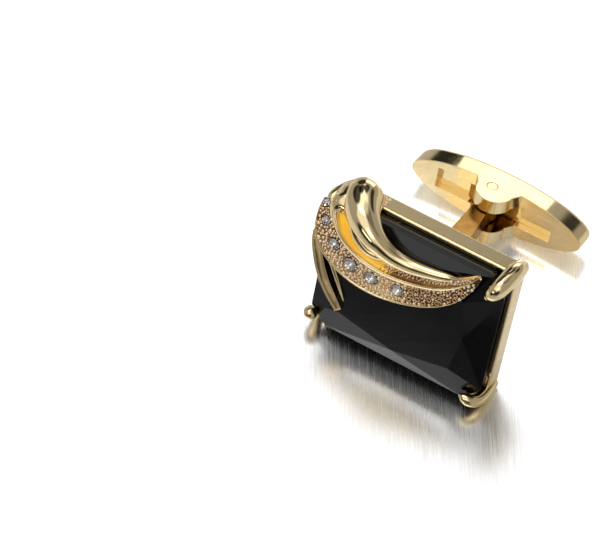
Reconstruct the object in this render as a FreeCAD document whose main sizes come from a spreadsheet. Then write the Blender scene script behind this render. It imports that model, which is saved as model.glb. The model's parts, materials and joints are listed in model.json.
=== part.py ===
import FreeCAD, Part
import Sketcher
import math
import os

# A cufflink: a black stone in a clawed tray, a jewelled crescent, and a post with a hinged toggle.
# Each piece is drawn as worn: X along the head, Z up the head, the stone facing -Y and the toggle at +Y.
# At the end the whole cufflink is laid down on its lower claws and its toggle, on the plane Z = 0.

V = FreeCAD.Vector

SIZES = {
    "head_long": 18.0,
    "head_short": 14.68,
    "rim_height": 1.75,
    "rim_wall": 0.45,
    "rim_round": 0.2,
    "back_thick": 0.8,
    "tray_corner": 0.5,
    "stone_clearance": 0.05,
    "stone_height": 4.4,
    "girdle_height": 3.4,
    "girdle_inset": 0.12,
    "stone_corner": 1.7,
    "table_long": 12.7,
    "table_short": 10.4,
    "claw_radius": 0.85,
    "hook_radius": 0.62,
    "ball_radius": 0.58,
    "band_outer_rise": 0.35,
    "band_inner_rise": 0.75,
    "band_groove_rise": 0.45,
    "band_rim_depth": 0.16,
    "band_sink": 1.4,
    "gem_radius": 0.65,
    "gem_lift": 0.08,
    "horn_radius": 1.5,
    "slim_horn_radius": 0.42,
    "knob_radius": 1.05,
    "corner_radius": 0.65,
    "leaf_half_width": 0.52,
    "leaf_rise": 0.4,
    "leaf_sink": 0.8,
    "spike_radius": 0.22,
    "pin_depth": 13.06,
    "pin_offset": -0.5,
    "pin_radius": 0.55,
    "pin_recess": 0.02,
    "pin_bevel": 0.06,
    "running_clearance": 0.04,
    "eye_radius": 1.0,
    "eye_thick": 1.76,
    "post_base_offset": 0.35,
    "post_base_wide": 2.9,
    "post_base_thick": 2.5,
    "post_neck_wide": 1.6,
    "post_neck_thick": 2.0,
    "post_neck_long": 2.06,
    "post_facet": 0.6,
    "post_foot_deep": 0.4,
    "post_foot_step": 0.15,
    "toggle_long": 17.94,
    "toggle_short": 5.1,
    "toggle_thick": 2.4,
    "toggle_drop": 0.66,
    "toggle_round": 0.55,
    "lug_radius": 1.8,
    "lug_offset": -0.05,
    "lug_lift": 0.31,
    "lug_foot_wide": 4.7,
    "channel_left": 6.3,
    "channel_right": 5.9,
    "channel_wide": 2.3,
    "channel_depth": 0.75,
    "spring_long": 5.0,
    "spring_wide": 1.9,
    "spring_thick": 0.25,
    "spring_corner": 0.3,
    "overrun": 0.5,
    "mesh_step": 0.02,
}

# Shares of half the head's length, half its height, the stone's height and the bar's own radius.
CLAW_SHARES = [
    (0.96, 0.98, 0.05, 0.80),
    (0.96, 1.01, 0.35, 1.00),
    (0.95, 1.00, 0.70, 1.00),
    (0.93, 0.95, 0.90, 0.95),
    (0.89, 0.87, 0.98, 0.80),
    (0.85, 0.80, 0.98, 0.20),
]
HOOK_SHARES = [
    (0.97, -0.94, 0.04, 0.85),
    (0.98, -0.95, 0.34, 1.00),
    (0.98, -0.95, 0.60, 1.00),
    (0.96, -0.94, 0.78, 0.97),
    (0.91, -0.92, 0.89, 0.90),
    (0.85, -0.90, 0.91, 0.68),
    (0.81, -0.90, 0.90, 0.20),
]
BALL_SHARES = [
    (-0.97, -0.94, 0.04, 0.80),
    (-0.98, -0.94, 0.36, 0.90),
    (-0.97, -0.92, 0.64, 0.92),
    (-0.97, -0.88, 0.80, 1.00),
    (-0.96, -0.86, 0.90, 0.80),
    (-0.95, -0.85, 0.95, 0.30),
]
HORN_SHARES = [
    (-0.74, 0.94, 0.08, 0.80),
    (-0.70, 1.01, 0.44, 1.03),
    (-0.64, 1.03, 0.75, 0.98),
    (-0.53, 0.98, 1.00, 0.85),
    (-0.38, 0.86, 1.13, 0.70),
    (-0.18, 0.76, 1.15, 0.60),
    (0.08, 0.735, 1.11, 0.475),
    (0.36, 0.785, 1.045, 0.31),
    (0.52, 0.83, 0.96, 0.06),
]
# The knob's outer half, which thins into the inner rim, and the corner's claw, both part of the crescent.
KNOB_SHARES = [
    (-0.92, 0.93, 0.10, 0.80),
    (-0.92, 0.97, 0.22, 1.00),
    (-0.92, 1.05, 0.48, 1.00),
    (-0.90, 1.085, 0.70, 0.82),
    (-0.88, 1.04, 0.84, 0.56),
    (-0.86, 0.95, 0.93, 0.40),
    (-0.82, 0.84, 1.00, 0.32),
    (-0.75, 0.72, 1.05, 0.22),
]
CORNER_SHARES = [
    (-0.96, 0.92, 0.04, 0.80),
    (-0.98, 0.93, 0.30, 1.00),
    (-1.01, 0.91, 0.58, 1.00),
    (-1.02, 0.86, 0.74, 0.60),
]
SLIM_HORN_SHARES = [
    (-0.74, 1.07, 0.97, 1.00),
    (-0.65, 0.96, 1.10, 1.00),
    (-0.52, 0.775, 1.14, 0.93),
    (-0.37, 0.685, 1.15, 0.72),
    (-0.21, 0.70, 1.13, 0.15),
]
# The spike is a straight cone between these two places.
SPIKE_SHARES = [(-0.80, 0.10, 1.01), (-0.60, -0.30, 1.05)]
SPIKE_TIP_SHARE = 0.25

# The crescent's outer edge is an oval about a centre near the head's top edge, turned from the head's axes.
OVAL_CENTRE_SHARES = (-0.20, 0.98)
OVAL_MEAN_SHARE = 0.855
OVAL_SWELL_SHARE = 0.10
OVAL_UP_SHARE = 1.226
OVAL_TURN = 200.0
OVAL_START = 184.0
OVAL_SWEEP = 132.0
OVAL_GAIN = 41.0
# Its inner edge, along the horn, is a cubic curve through these control points.
INNER_SHARES = [(-0.81, 1.04), (-0.58, 0.44), (0.17, 0.57), (0.69, 0.95)]
# The crescent starts low and narrow at the corner, lies on the table, then drops and thins to its tip.
START_DROP_SHARE = 0.26
START_TUCK_SHARE = 0.20
START_REACH_SHARE = 0.24
TIP_DROP_SHARE = 0.15
TIP_REACH_SHARE = 0.14
TIP_FULL_SHARE = 0.35
TIP_TAPER_SHARE = 0.32
BAND_SPANS = 18
# Spans between two given places of a round bar, sides of such a bar, and spans of a rounded edge.
SPAN_STEPS = 3
ROUND_SIDES = 24
ROUND_STEPS = 3
# Places across the crescent: rim, jewelled band, inner rim, groove.
RIM_SHARE = 0.055
BAND_SHARE = 0.66
INNER_RIM_SHARE = 0.70
INNER_RIM_END_SHARE = 0.81
GROOVE_SHARE = 0.85
# Along the band, across the band and radius of each clear stone.
GEM_SHARES = [
    (0.02, 0.24, 0.60),
    (0.10, 0.36, 0.68),
    (0.22, 0.40, 0.85),
    (0.345, 0.38, 1.00),
    (0.46, 0.40, 0.95),
    (0.60, 0.38, 0.85),
]
GEM_TABLE_SHARE = 0.55
GEM_CROWN_SHARE = 0.32
GEM_PAVILION_SHARE = 0.60
GEM_SIDES = 8
TABLE_CORNER_LONG_SHARE = 0.895
TABLE_CORNER_SHORT_SHARE = 0.77
# The leaf: middle line, then half widths along it and its heights.
LEAF_SHARES = [(-1.085, 0.46), (-1.04, 0.05), (-0.65, -0.48)]
LEAF_WIDTH_SHARES = [0.30, 0.85, 1.0, 0.98, 0.85, 0.55]
LEAF_BASE_SHARES = [0.82, 0.84, 0.88, 0.94, 0.99, 1.0]
LEAF_FOLD_SHARE = 0.45

doc = FreeCAD.newDocument("cufflink")
sheet = doc.addObject("Spreadsheet::Sheet", "sizes")
for row, (name, value) in enumerate(SIZES.items(), start=1):
    sheet.set(f"A{row}", name)
    sheet.set(f"B{row}", str(value))
    sheet.setAlias(f"B{row}", name)
doc.recompute()


def size(name):
    return float(sheet.get(name))


def at(along, up, out):
    """A point by its place along the head, up the head and out from the head's back."""
    return V(along, -out, up)


def from_shares(along, up, out):
    return at(along * size("head_long") / 2, up * size("head_short") / 2, out * size("stone_height"))


def feature(label, shape):
    item = doc.addObject("Part::Feature", label)
    item.Label = label
    item.Shape = shape
    return item


def primitive(kind, name, formulas):
    item = doc.addObject(kind, name)
    for key, formula in formulas.items():
        item.setExpression(key, formula)
    return item


def box(name, left, right, front, back, low, high):
    """A box by the formulas of its six faces."""
    formulas = {
        "Length": f"({right}) - ({left})",
        "Width": f"({back}) - ({front})",
        "Height": f"({high}) - ({low})",
        "Placement.Base.x": left,
        "Placement.Base.y": front,
        "Placement.Base.z": low,
    }
    return primitive("Part::Box", name, formulas)


def upright(name, radius, along, depth, low, high):
    """A cylinder along the hinge's axis."""
    formulas = {
        "Radius": radius,
        "Height": f"({high}) - ({low})",
        "Placement.Base.x": along,
        "Placement.Base.y": depth,
        "Placement.Base.z": low,
    }
    return primitive("Part::Cylinder", name, formulas)


def wedge(name, front, back, front_along, back_along, front_up, back_up):
    """A tapered bar: middle and half width along the head, and half height, at its two ends."""
    formulas = {
        "Ymin": front,
        "Ymax": back,
        "Xmin": f"({front_along[0]}) - ({front_along[1]})",
        "Xmax": f"({front_along[0]}) + ({front_along[1]})",
        "X2min": f"({back_along[0]}) - ({back_along[1]})",
        "X2max": f"({back_along[0]}) + ({back_along[1]})",
        "Zmin": f"-({front_up})",
        "Zmax": front_up,
        "Z2min": f"-({back_up})",
        "Z2max": back_up,
    }
    return primitive("Part::Wedge", name, formulas)


def fused(name, items):
    item = doc.addObject("Part::MultiFuse", name)
    item.Shapes = items
    return item


def cut(label, base, tool):
    item = doc.addObject("Part::Cut", label)
    item.Label = label
    item.Base = base
    item.Tool = tool
    return item


def softened(kind, label, base, radius, test):
    """A piece with the edges that pass a test rounded or bevelled."""
    item = doc.addObject(kind, label)
    item.Label = label
    item.Base = base
    edges = [k for k, edge in enumerate(base.Shape.Edges, start=1) if test(edge.BoundBox)]
    item.Edges = [(k, radius, radius) for k in edges]
    return item


def rectangle(body, name, long, short, offset):
    """A centred rectangle on the head's back plane, moved out by the offset."""
    sketch = body.newObject("Sketcher::SketchObject", name)
    plane = [f for f in body.Origin.OriginFeatures if f.Role == "XZ_Plane"][0]
    sketch.AttachmentSupport = [(plane, "")]
    sketch.MapMode = "FlatFace"
    sketch.setExpression("AttachmentOffset.Base.z", offset)
    corners = [V(-1, -1, 0), V(1, -1, 0), V(1, 1, 0), V(-1, 1, 0)]
    for k in range(4):
        sketch.addGeometry(Part.LineSegment(corners[k], corners[(k + 1) % 4]))
    for k in range(4):
        sketch.addConstraint(Sketcher.Constraint("Coincident", k, 2, (k + 1) % 4, 1))
        sketch.addConstraint(Sketcher.Constraint("Horizontal" if k % 2 == 0 else "Vertical", k))
    sketch.addConstraint(Sketcher.Constraint("Symmetric", 0, 1, 1, 2, -1, 1))
    sketch.addConstraint(Sketcher.Constraint("DistanceX", 0, 1, 0, 2, corners[1].x - corners[0].x))
    sketch.renameConstraint(sketch.ConstraintCount - 1, "across")
    sketch.setExpression("Constraints.across", long)
    sketch.addConstraint(Sketcher.Constraint("DistanceY", 1, 1, 1, 2, corners[2].y - corners[1].y))
    sketch.renameConstraint(sketch.ConstraintCount - 1, "up")
    sketch.setExpression("Constraints.up", short)
    return sketch


def edges_where(shape, test):
    return [f"Edge{k}" for k, edge in enumerate(shape.Edges, start=1) if test(edge.BoundBox)]


def setting_tray():
    body = doc.addObject("PartDesign::Body", "setting_tray")
    body.Label = "setting_tray"
    pad = body.newObject("PartDesign::Pad", "tray_block")
    pad.Profile = rectangle(body, "tray_outline", "sizes.head_long", "sizes.head_short", "0")
    pad.setExpression("Length", "sizes.rim_height")
    doc.recompute()
    corners = body.newObject("PartDesign::Fillet", "tray_corners")
    corners.Base = (pad, edges_where(pad.Shape, lambda b: b.XLength + b.ZLength < b.YLength))
    corners.setExpression("Radius", "sizes.tray_corner")
    pocket = body.newObject("PartDesign::Pocket", "stone_seat")
    inside = ["sizes.head_long - 2 * sizes.rim_wall", "sizes.head_short - 2 * sizes.rim_wall"]
    pocket.Profile = rectangle(body, "seat_outline", inside[0], inside[1], "sizes.rim_height")
    pocket.setExpression("Length", "sizes.rim_height - sizes.back_thick")
    doc.recompute()
    wall_long = (size("head_long") - size("rim_wall")) / 2
    wall_short = (size("head_short") - size("rim_wall")) / 2
    front = size("rim_round") / 2 - size("rim_height")

    def outside(b):
        beyond = max(b.XMax, -b.XMin) > wall_long or max(b.ZMax, -b.ZMin) > wall_short
        return b.YMax < front and beyond

    rim = body.newObject("PartDesign::Fillet", "rim_edge")
    rim.Base = (pocket, edges_where(pocket.Shape, outside))
    rim.setExpression("Radius", "sizes.rim_round")
    socket = body.newObject("PartDesign::Pocket", "post_socket")
    foot = [f"sizes.post_base_{side} + 2 * sizes.post_foot_step" for side in ("wide", "thick")]
    socket.Profile = rectangle(body, "socket_outline", foot[0], foot[1], "0")
    socket.Profile[0].setExpression("AttachmentOffset.Base.x", "sizes.post_base_offset")
    socket.Reversed = True
    socket.setExpression("Length", "sizes.post_foot_deep")
    body.Tip = socket
    return body


def cut_corner_ring(half_long, half_short, corner, out):
    """An eight-cornered outline, from the lower left, anticlockwise seen from the front."""
    a, b, c = half_long, half_short, corner
    lower_right = [(a - c, -b), (a, -b + c)]
    upper_right = [(a, b - c), (a - c, b)]
    upper_left = [(-a + c, b), (-a, b - c)]
    lower_left = [(-a, -b + c), (-a + c, -b)]
    places = lower_left[1:] + lower_right + upper_right + upper_left + lower_left[:1]
    return [at(along, up, out) for along, up in places]


def black_stone():
    seat_long = size("head_long") / 2 - size("rim_wall") - size("stone_clearance")
    seat_short = size("head_short") / 2 - size("rim_wall") - size("stone_clearance")
    girdle_long = size("head_long") / 2 - size("girdle_inset")
    girdle_short = size("head_short") / 2 - size("girdle_inset")
    corner = size("stone_corner")
    foot = cut_corner_ring(seat_long, seat_short, corner, size("back_thick"))
    rim = cut_corner_ring(seat_long, seat_short, corner, size("rim_height"))
    girdle = cut_corner_ring(girdle_long, girdle_short, corner, size("girdle_height"))
    a, b = size("table_long") / 2, size("table_short") / 2
    ca, cb = a * TABLE_CORNER_LONG_SHARE, b * TABLE_CORNER_SHORT_SHARE
    places = [(0, -b), (ca, -cb), (a, 0), (ca, cb), (0, b), (-ca, cb), (-a, 0), (-ca, -cb)]
    table = [at(along, up, size("stone_height")) for along, up in places]
    faces = [Part.Face(Part.makePolygon(foot + foot[:1])), Part.Face(Part.makePolygon(table + table[:1]))]
    for low, high in ((foot, rim), (rim, girdle)):
        for k in range(8):
            after = (k + 1) % 8
            faces.append(Part.Face(Part.makePolygon([low[k], low[after], high[after], high[k], low[k]])))
    for side in range(4):
        start, end, beyond = girdle[2 * side], girdle[2 * side + 1], girdle[(2 * side + 2) % 8]
        middle, corner_point = table[2 * side], table[2 * side + 1]
        before = table[2 * side - 1]
        for triangle in ((start, end, middle), (start, middle, before), (end, corner_point, middle)):
            faces.append(Part.Face(Part.makePolygon(list(triangle) + [triangle[0]])))
        faces.append(Part.Face(Part.makePolygon([end, beyond, corner_point, end])))
    return feature("black_stone", Part.Solid(Part.Shell(faces)))


def tangents(points):
    directions = []
    for k in range(len(points)):
        step = points[min(k + 1, len(points) - 1)] - points[max(k - 1, 0)]
        directions.append(step.normalize())
    return directions


def curve_through(points, places):
    curve = Part.BSplineCurve()
    curve.interpolate(Points=points, Parameters=places)
    return curve


def round_ring(radius):
    """A circle drawn with many straight sides, which keeps the long bars light."""
    turns = [2 * math.pi * k / ROUND_SIDES for k in range(ROUND_SIDES)]
    corners = [V(math.cos(turn), math.sin(turn), 0) * radius for turn in turns]
    return Part.makePolygon(corners + corners[:1])


def tapered_bar(shares, radius):
    """A round bar lofted through rings along a smooth curved line."""
    points = [from_shares(along, up, out) for along, up, out, _ in shares]
    places = [0]
    for start, end in zip(points, points[1:]):
        places.append(places[-1] + (end - start).Length)
    middle = curve_through(points, places)
    girth = curve_through([V(station[3], place, 0) for station, place in zip(shares, places)], places)
    stops = places[:1]
    for start, end in zip(places, places[1:]):
        stops += [start + (end - start) * (step + 1) / SPAN_STEPS for step in range(SPAN_STEPS)]
    side = at(1, 0, 0)
    wires = []
    for place in stops:
        direction = middle.tangent(place)[0]
        side = (side - direction * side.dot(direction)).normalize()
        turn = FreeCAD.Rotation(side, direction.cross(side), direction, "ZXY")
        ring = round_ring(radius * girth.value(place).x)
        ring.Placement = FreeCAD.Placement(middle.value(place), turn)
        wires.append(ring)
    return Part.makeLoft(wires, True, True)


def start_share(share):
    """How much of the crescent's rolled-over start is left, a share of the way along it."""
    return max(0, 1 - share / START_REACH_SHARE) ** 2


def band_edges(share):
    """The crescent's outer and inner edge, seen from the front, a share of the way along it."""
    half_long, half_short = size("head_long") / 2, size("head_short") / 2
    angle = OVAL_START + OVAL_SWEEP * share + OVAL_GAIN * share**2
    reach = OVAL_MEAN_SHARE + OVAL_SWELL_SHARE * math.cos(math.radians(2 * (angle - OVAL_TURN)))
    outer_along = (OVAL_CENTRE_SHARES[0] + reach * math.cos(math.radians(angle))) * half_long
    outer_up = (OVAL_CENTRE_SHARES[1] + OVAL_UP_SHARE * reach * math.sin(math.radians(angle))) * half_short
    rest = 1 - share
    weights = (rest**3, 3 * rest**2 * share, 3 * rest * share**2, share**3)
    inner_along = sum(w * p[0] for w, p in zip(weights, INNER_SHARES)) * half_long
    inner_up = sum(w * p[1] for w, p in zip(weights, INNER_SHARES)) * half_short
    start = start_share(share)
    tip = max(0, 1 - rest / TIP_REACH_SHARE) ** 2
    out = (1 - START_DROP_SHARE * start - TIP_DROP_SHARE * tip) * size("stone_height")
    outer_edge, inner_edge = at(outer_along, outer_up, out), at(inner_along, inner_up, out)
    return outer_edge + (inner_edge - outer_edge) * (START_TUCK_SHARE * start), inner_edge


def band_stations():
    """Outer edge, inner edge, outward direction and fullness at each station of the crescent."""
    shares = [k / BAND_SPANS for k in range(BAND_SPANS + 1)]
    edges = [band_edges(share) for share in shares]
    middles = [outer + inner for outer, inner in edges]
    stations = []
    for (outer, inner), direction, share in zip(edges, tangents(middles), shares):
        full = min(1, TIP_FULL_SHARE + (1 - share) / TIP_TAPER_SHARE)
        start = start_share(share)
        outward = direction.cross(inner - outer).normalize() * start + at(0, 0, 1) * (1 - start)
        stations.append((outer, inner, outward.normalize(), full))
    return stations


def band_section(outer, inner, outward, full):
    across = inner - outer
    rise, inner_rise = size("band_outer_rise") * full, size("band_inner_rise") * full
    groove, depth = size("band_groove_rise") * full, size("band_rim_depth") * full
    sink = size("band_sink")
    marks = [
        (0, -sink),
        (0, rise),
        (RIM_SHARE, rise),
        (RIM_SHARE, rise - depth),
        (BAND_SHARE, inner_rise - 2 * depth),
        (INNER_RIM_SHARE, inner_rise),
        (INNER_RIM_END_SHARE, inner_rise),
        (GROOVE_SHARE, groove - depth),
        (1, groove),
        (1, -sink),
    ]
    points = [outer + across * share + outward * height for share, height in marks]
    return Part.makePolygon(points + points[:1])


def gem_solid(centre, outward, along, radius):
    """A round brilliant with few facets: table, girdle and point."""
    side = (along - outward * along.dot(outward)).normalize()
    other = outward.cross(side)
    rings = []
    for share, height in ((1, 0), (GEM_TABLE_SHARE, GEM_CROWN_SHARE)):
        ring = []
        for k in range(GEM_SIDES):
            turn = 2 * math.pi * k / GEM_SIDES
            spoke = side * math.cos(turn) + other * math.sin(turn)
            ring.append(centre + spoke * (radius * share) + outward * (radius * height))
        rings.append(ring)
    tip = centre - outward * (radius * GEM_PAVILION_SHARE)
    faces = [Part.Face(Part.makePolygon(rings[1] + rings[1][:1]))]
    for k in range(GEM_SIDES):
        after = (k + 1) % GEM_SIDES
        low, high = rings
        faces.append(Part.Face(Part.makePolygon([tip, low[after], low[k], tip])))
        faces.append(Part.Face(Part.makePolygon([low[k], low[after], high[after], high[k], low[k]])))
    return Part.Solid(Part.Shell(faces))


def gem_solids():
    solids = []
    for share, across_share, radius_share in GEM_SHARES:
        outer, inner = band_edges(share)
        next_outer, next_inner = band_edges(share + 1 / BAND_SPANS)
        along = (next_outer + next_inner - outer - inner).normalize()
        outward = along.cross(inner - outer).normalize()
        floor = size("band_outer_rise") - size("band_rim_depth")
        slope = size("band_inner_rise") - 2 * size("band_rim_depth") - floor
        part_way = (across_share - RIM_SHARE) / (BAND_SHARE - RIM_SHARE)
        lift = floor + slope * part_way + size("gem_lift")
        centre = outer + (inner - outer) * across_share + outward * lift
        across = (inner - outer) * (BAND_SHARE - RIM_SHARE) + outward * slope
        radius = size("gem_radius") * radius_share
        solids.append(gem_solid(centre, along.cross(across).normalize(), along, radius))
    return solids


def leaf_solid():
    """A folded leaf: two raised edges and a valley along its middle."""
    wires = []
    count = len(LEAF_WIDTH_SHARES)
    places = []
    for k in range(count):
        share = k / (count - 1)
        weights = ((1 - share) ** 2, 2 * share * (1 - share), share**2)
        along = sum(w * p[0] for w, p in zip(weights, LEAF_SHARES))
        up = sum(w * p[1] for w, p in zip(weights, LEAF_SHARES))
        places.append(from_shares(along, up, LEAF_BASE_SHARES[k]))
    for place, direction, share in zip(places, tangents(places), LEAF_WIDTH_SHARES):
        half = size("leaf_half_width") * share
        side = direction.cross(V(0, -1, 0)).normalize() * half
        rise, sink = V(0, -size("leaf_rise"), 0), V(0, size("leaf_sink"), 0)
        valley = rise * LEAF_FOLD_SHARE
        left, right = place - side, place + side
        points = [left + sink, left + rise, place + valley, right + rise, right + sink]
        wires.append(Part.makePolygon(points + points[:1]))
    return Part.makeLoft(wires, True, False)


def largest(shape):
    return max(shape.Solids, key=lambda solid: solid.Volume)


def head_trim(stone):
    """Claws and ornament, each cut to fit the pieces under it."""
    long, short, rim = size("head_long"), size("head_short"), size("rim_height")
    block = Part.makeBox(long, rim, short, V(-long / 2, -rim, -short / 2))
    bed = [block, stone.Shape]
    horn_bar = tapered_bar(HORN_SHARES, size("horn_radius"))
    slim_bar = tapered_bar(SLIM_HORN_SHARES, size("slim_horn_radius"))
    band_loft = Part.makeLoft([band_section(*station) for station in band_stations()], True, True)
    knob_bar = tapered_bar(KNOB_SHARES, size("knob_radius"))
    corner_bar = tapered_bar(CORNER_SHARES, size("corner_radius"))
    band_bar = band_loft.fuse([knob_bar, corner_bar])
    gems = gem_solids()
    shapes = {
        "claw_top_right": largest(tapered_bar(CLAW_SHARES, size("claw_radius")).cut(bed)),
        "claw_bottom_right": largest(tapered_bar(HOOK_SHARES, size("hook_radius")).cut(bed)),
        "claw_bottom_left": largest(tapered_bar(BALL_SHARES, size("ball_radius")).cut(bed)),
        "crescent_band": largest(band_bar.cut(bed + gems)),
        "polished_horn": largest(horn_bar.cut(bed + [band_bar])),
        "slim_horn": largest(slim_bar.cut(bed + [band_bar, horn_bar])),
    }
    above = bed + [band_bar]
    leaf = leaf_solid()
    shapes["leaf"] = largest(leaf.cut(above))
    root, tip = (from_shares(*place) for place in SPIKE_SHARES)
    thick = size("spike_radius")
    spike = Part.makeCone(thick, thick * SPIKE_TIP_SHARE, (tip - root).Length, root, tip - root)
    shapes["leaf_spike"] = largest(spike.cut(above + [leaf]))
    for number, gem in enumerate(gems, start=1):
        shapes[f"rhinestone_{number}"] = gem
    return [feature(label, shape) for label, shape in shapes.items()]


def post():
    """A tapered bar with a foot let into the tray's back and an eye for the hinge pin."""
    shoulder = "sizes.pin_depth - sizes.post_neck_long"
    neck_end = f"{shoulder} + sizes.post_facet"
    base = ("sizes.post_base_offset", "sizes.post_base_wide / 2")
    foot = ("sizes.post_base_offset", "sizes.post_base_wide / 2 + sizes.post_foot_step")
    neck = ("sizes.pin_offset", "sizes.post_neck_wide / 2")
    base_up, neck_up, eye_up = "sizes.post_base_thick / 2", "sizes.post_neck_thick / 2", "sizes.eye_thick / 2"
    foot_up = f"{base_up} + sizes.post_foot_step"
    pieces = [
        wedge("post_foot", "-sizes.post_foot_deep", "0", foot, foot, foot_up, foot_up),
        wedge("post_bar", "0", shoulder, base, neck, base_up, neck_up),
        wedge("post_facet", shoulder, neck_end, neck, neck, neck_up, eye_up),
        wedge("post_neck", neck_end, "sizes.pin_depth", neck, neck, eye_up, eye_up),
        upright("post_eye", "sizes.eye_radius", "sizes.pin_offset", "sizes.pin_depth", f"-{eye_up}", eye_up),
    ]
    bore_radius = "sizes.pin_radius + sizes.running_clearance"
    far = "(sizes.eye_thick / 2 + sizes.overrun)"
    bore = upright("post_bore", bore_radius, "sizes.pin_offset", "sizes.pin_depth", f"-{far}", far)
    return cut("post", fused("post_blank", pieces), bore)


def toggle_oval(name, depth, inset):
    formulas = {
        "MajorRadius": f"sizes.toggle_long / 2 - {inset}",
        "MinorRadius": f"sizes.toggle_short / 2 - {inset}",
        "Placement.Base.y": depth,
    }
    oval = primitive("Part::Ellipse", name, formulas)
    oval.Placement = FreeCAD.Placement(V(0, 0, 0), FreeCAD.Rotation(V(1, 0, 0), 90))
    return oval


def toggle_column():
    """The toggle's oval, from in front of its lugs to its back, where its edge is rounded."""
    shoulder = "sizes.pin_depth + sizes.toggle_drop + sizes.toggle_thick - sizes.toggle_round"
    ovals = [toggle_oval("toggle_front", "sizes.pin_depth - 2 * sizes.lug_radius", "0")]
    for step in range(ROUND_STEPS + 1):
        turn = f"{90 * step / ROUND_STEPS} deg"
        depth = f"{shoulder} + sizes.toggle_round * sin({turn})"
        ovals.append(toggle_oval(f"toggle_oval_{step}", depth, f"sizes.toggle_round * (1 - cos({turn}))"))
    column = doc.addObject("Part::Loft", "toggle_column")
    column.Sections = ovals
    column.Solid = True
    column.Ruled = True
    return column


def toggle_body():
    under = "sizes.pin_depth + sizes.toggle_drop"
    back = f"{under} + sizes.toggle_thick"
    end, far = "(sizes.toggle_long / 2 + sizes.overrun)", "(sizes.toggle_short / 2 + sizes.overrun)"
    lug_depth = "sizes.pin_depth - sizes.lug_lift"
    lug = ("sizes.lug_offset", "sizes.lug_radius")
    foot = ("sizes.lug_offset", "sizes.lug_foot_wide / 2")
    profile = [
        box("toggle_plate", f"-{end}", end, under, back, f"-{far}", far),
        upright("toggle_lug", "sizes.lug_radius", "sizes.lug_offset", lug_depth, f"-{far}", far),
        wedge("toggle_lug_foot", lug_depth, under, lug, foot, far, far),
    ]
    blank = doc.addObject("Part::MultiCommon", "toggle_blank")
    blank.Shapes = [toggle_column(), fused("toggle_profile", profile)]
    floor = f"{under} + sizes.channel_depth"
    front = "sizes.pin_depth - 2 * sizes.lug_radius"
    across = "sizes.channel_wide / 2"
    left, right = "-sizes.channel_left", "sizes.channel_right"
    hollows = [
        box("toggle_channel", left, right, front, floor, f"-{across}", across),
        upright("toggle_bore", "sizes.pin_radius", "sizes.pin_offset", "sizes.pin_depth", f"-{far}", far),
    ]
    return cut("toggle_body", blank, fused("toggle_hollows", hollows))


def hinge_pin():
    end = "(sizes.toggle_short / 2 - sizes.pin_recess)"
    rod = upright("pin_rod", "sizes.pin_radius", "sizes.pin_offset", "sizes.pin_depth", f"-{end}", end)
    doc.recompute()
    bevel = size("pin_bevel")
    return softened("Part::Chamfer", "hinge_pin", rod, bevel, lambda b: b.ZLength < bevel)


def toggle_spring():
    floor = "sizes.pin_depth + sizes.toggle_drop + sizes.channel_depth"
    half, across = "sizes.spring_long / 2", "sizes.spring_wide / 2"
    left, right = f"sizes.pin_offset - {half}", f"sizes.pin_offset + {half}"
    strip = box("spring_strip", left, right, f"{floor} - sizes.spring_thick", floor, f"-{across}", across)
    doc.recompute()
    corner = size("spring_corner")

    def upright_edge(b):
        return b.XLength + b.ZLength < b.YLength

    return softened("Part::Fillet", "toggle_spring", strip, corner, upright_edge)


def heights(items, angle):
    """The lowest height of some pieces when the head leans back by an angle."""
    lowest = []
    for item in items:
        for point in item.Shape.tessellate(size("mesh_step"))[0]:
            lowest.append(point.z * math.cos(angle) - point.y * math.sin(angle))
    return min(lowest)


def lay_down(head, toggle):
    """Leans the cufflink back until its claws and its toggle rest on one plane, and moves that to Z = 0."""
    low, high = 0, math.pi / 4
    for _ in range(30):
        angle = (low + high) / 2
        if heights(head, angle) < heights(toggle, angle):
            low = angle
        else:
            high = angle
    turn = FreeCAD.Rotation(V(1, 0, 0), -math.degrees(angle))
    whole = FreeCAD.BoundBox()
    for item in head + toggle:
        turned = item.Shape.copy()
        turned.Placement = FreeCAD.Placement(V(0, 0, 0), turn).multiply(turned.Placement)
        whole.add(turned.optimalBoundingBox(False))
    shift = V(-whole.Center.x, -whole.Center.y, -whole.ZMin)
    lay = FreeCAD.Placement(shift, turn)
    for item in head + toggle:
        item.Placement = lay.multiply(item.Placement)
    print("laid down by", round(math.degrees(angle), 3), "degrees and moved by", [round(c, 4) for c in shift])


tray = setting_tray()
stone = black_stone()
doc.recompute()
head_pieces = [tray, stone] + head_trim(stone) + [post()]
toggle_pieces = [toggle_body(), hinge_pin(), toggle_spring()]
doc.recompute()
lay_down(head_pieces, toggle_pieces)
doc.recompute()

for item in doc.Objects:
    if {"Invalid", "Error"} & set(item.State):
        raise RuntimeError(f"{item.Label} did not build: {item.State}")
os.makedirs("parts", exist_ok=True)
for item in head_pieces + toggle_pieces:
    if item.Shape.isNull() or not item.Shape.isValid():
        raise RuntimeError(f"{item.Label} has no sound shape")
    item.Shape.exportStep(f"parts/{item.Label}.step")
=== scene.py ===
import json
import math
import random

import bpy
from mathutils import Matrix, Vector


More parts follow.
